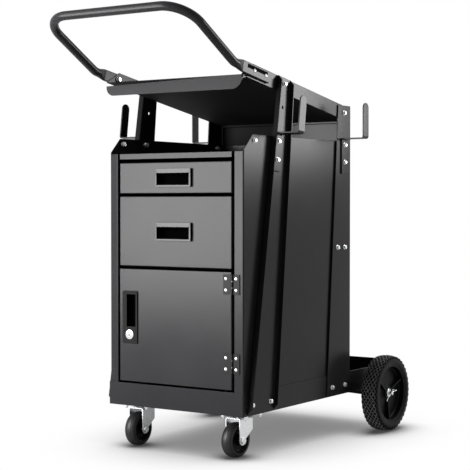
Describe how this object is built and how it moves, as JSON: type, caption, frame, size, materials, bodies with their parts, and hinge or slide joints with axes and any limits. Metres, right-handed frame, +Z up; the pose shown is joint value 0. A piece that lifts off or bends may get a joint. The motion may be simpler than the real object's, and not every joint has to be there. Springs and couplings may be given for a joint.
{
  "type": "welding cart",
  "caption": "Rolling steel welding cart: drawers and a locking door below a shelf, a sloping tray for the welder, a bottle platform behind, cable hooks and a push handle.",
  "frame": {"origin": "on the floor, under the middle of the cart's length and width", "axes": "+Z up, -Y to the drawers, door and push handle, +Y to the bottle platform, +X to the right of someone facing the drawers"},
  "size_m": [0.5126, 0.8602, 0.9388],
  "materials": {
    "frame_coat": "semi-gloss black powder coat",
    "front_coat": "semi-gloss black powder coat on drawers and door",
    "pull_plastic": "black moulded plastic",
    "wheel_plastic": "black moulded wheel plastic",
    "rear_tyre": "black rubber with a lug tread",
    "caster_tyre": "smooth black rubber",
    "zinc": "bright zinc plate",
    "lock_chrome": "bright chrome"
  },
  "bodies": {
    "cart": {"axle_bracket_left": "frame_coat", "axle_bracket_right": "frame_coat", "axle_spacer_left": "zinc", "axle_spacer_right": "zinc", "axle_washer_left": "zinc", "axle_washer_right": "zinc", "back_panel": "frame_coat", "base_pan": "frame_coat", "bottle_rest": "frame_coat", "cabinet_divider": "frame_coat", "cable_hook_front_left": "frame_coat", "cable_hook_front_right": "frame_coat", "cable_hook_rear_left": "frame_coat", "cable_hook_rear_right": "frame_coat", "caster_plate_left": "zinc", "caster_plate_right": "zinc", "front_post_left": "frame_coat", "front_post_right": "frame_coat", "lower_hinge_pin": "zinc", "lower_hinge_stile_leaf": "frame_coat", "lower_runner_left": "zinc", "lower_runner_right": "zinc", "push_handle": "frame_coat", "rear_axle": "zinc", "rear_post_left": "frame_coat", "rear_post_right": "frame_coat", "side_panel_left": "frame_coat", "side_panel_right": "frame_coat", "split_pin_left": "zinc", "split_pin_right": "zinc", "storage_shelf": "frame_coat", "top_tray": "frame_coat", "upper_hinge_pin": "zinc", "upper_hinge_stile_leaf": "frame_coat", "upper_runner_left": "zinc", "upper_runner_right": "zinc"},
    "upper_drawer": {"upper_drawer_box": "front_coat", "upper_drawer_pull": "pull_plastic"},
    "lower_drawer": {"lower_drawer_box": "front_coat", "lower_drawer_pull": "pull_plastic"},
    "door": {"door_panel": "front_coat", "door_pull": "pull_plastic", "lock_body": "lock_chrome", "upper_hinge_door_leaf": "frame_coat", "lower_hinge_door_leaf": "frame_coat"},
    "lock": {"lock_plug": "lock_chrome", "lock_cam": "zinc"},
    "caster_left": {"caster_fork_left": "zinc", "caster_axle_left": "zinc"},
    "caster_wheel_left": {"caster_hub_left": "wheel_plastic", "caster_tyre_left": "caster_tyre"},
    "rear_wheel_left": {"rear_rim_left": "wheel_plastic", "rear_tyre_left": "rear_tyre"},
    "caster_right": {"caster_fork_right": "zinc", "caster_axle_right": "zinc"},
    "caster_wheel_right": {"caster_hub_right": "wheel_plastic", "caster_tyre_right": "caster_tyre"},
    "rear_wheel_right": {"rear_rim_right": "wheel_plastic", "rear_tyre_right": "rear_tyre"}
  },
  "joints": [
    {"name": "upper_drawer_slide", "type": "slide", "parent": "cart", "child": "upper_drawer", "axis": [0, -1, 0], "range_m": [0, 0.3]},
    {"name": "lower_drawer_slide", "type": "slide", "parent": "cart", "child": "lower_drawer", "axis": [0, -1, 0], "range_m": [0, 0.3]},
    {"name": "door_hinge", "type": "hinge", "parent": "cart", "child": "door", "pos_m": [0.15185, -0.21079, 0.3722], "axis": [0, 0, 1], "range_deg": [0, 170]},
    {"name": "lock_turn", "type": "hinge", "parent": "door", "child": "lock", "pos_m": [-0.1198, -0.20179, 0.2535], "axis": [0, -1, 0], "range_deg": [0, 90]},
    {"name": "caster_swivel_left", "type": "hinge", "parent": "cart", "child": "caster_left", "pos_m": [-0.132, -0.14389, 0.08775], "axis": [0, 0, 1], "continuous": true},
    {"name": "caster_roll_left", "type": "hinge", "parent": "caster_left", "child": "caster_wheel_left", "pos_m": [-0.13182, -0.16489, 0.038], "axis": [1, 0.0087, 0], "continuous": true},
    {"name": "caster_swivel_right", "type": "hinge", "parent": "cart", "child": "caster_right", "pos_m": [0.132, -0.14389, 0.08775], "axis": [0, 0, 1], "continuous": true},
    {"name": "caster_roll_right", "type": "hinge", "parent": "caster_right", "child": "caster_wheel_right", "pos_m": [0.13017, -0.16481, 0.038], "axis": [0.9962, -0.0872, 0], "continuous": true},
    {"name": "rear_roll_left", "type": "hinge", "parent": "cart", "child": "rear_wheel_left", "pos_m": [-0.2355, 0.32111, 0.09], "axis": [1, 0, 0], "continuous": true},
    {"name": "rear_roll_right", "type": "hinge", "parent": "cart", "child": "rear_wheel_right", "pos_m": [0.2355, 0.32111, 0.09], "axis": [1, 0, 0], "continuous": true}
  ]
}
